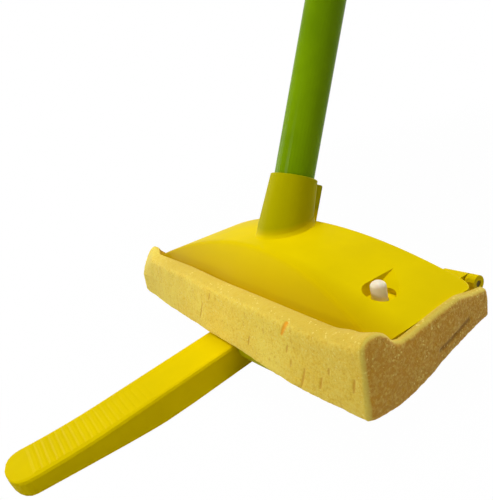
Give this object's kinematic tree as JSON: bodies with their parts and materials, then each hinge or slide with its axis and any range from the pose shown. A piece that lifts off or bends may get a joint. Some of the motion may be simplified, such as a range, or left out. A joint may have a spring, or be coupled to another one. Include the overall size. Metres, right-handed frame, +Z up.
{
  "type": "self-wringing sponge mop",
  "caption": "Floor mop with an arched head, a sponge refill and a hinged press plate whose lever folds up against the handle to squeeze the water out.",
  "frame": {"origin": "middle of the hang hole in the grip's tab", "axes": "+X along the mop head to its right end, +Y from the lever's tip towards the hinge side, +Z up"},
  "size_m": [0.2348, 0.7178, 1.1025],
  "materials": {
    "yellow_plastic": "moulded, slightly glossy",
    "green_coating": "glossy coating on a steel tube",
    "cellulose_sponge": "open-pored cellulose foam",
    "white_plastic": "plain moulded",
    "plug_plastic": "plain moulded",
    "zinc_steel": "zinc-plated"
  },
  "bodies": {
    "mop_body": {"head_housing": "yellow_plastic", "hinge_pin_left": "zinc_steel", "hinge_pin_right": "zinc_steel", "handle_tube": "green_coating", "tube_foot_plug": "plug_plastic", "socket_screw": "zinc_steel", "handle_grip": "yellow_plastic", "sponge_carrier": "white_plastic", "release_stud": "white_plastic", "sponge": "cellulose_sponge"},
    "wringer": {"press_plate": "yellow_plastic", "press_lever": "yellow_plastic", "lever_screw_back": "zinc_steel", "lever_screw_front": "zinc_steel"}
  },
  "joints": [
    {"name": "wringer_hinge", "type": "hinge", "parent": "mop_body", "child": "wringer", "pos_m": [0, -0.49387, -1.04461], "axis": [1, 0, 0], "range_deg": [0, 236.5]}
  ]
}
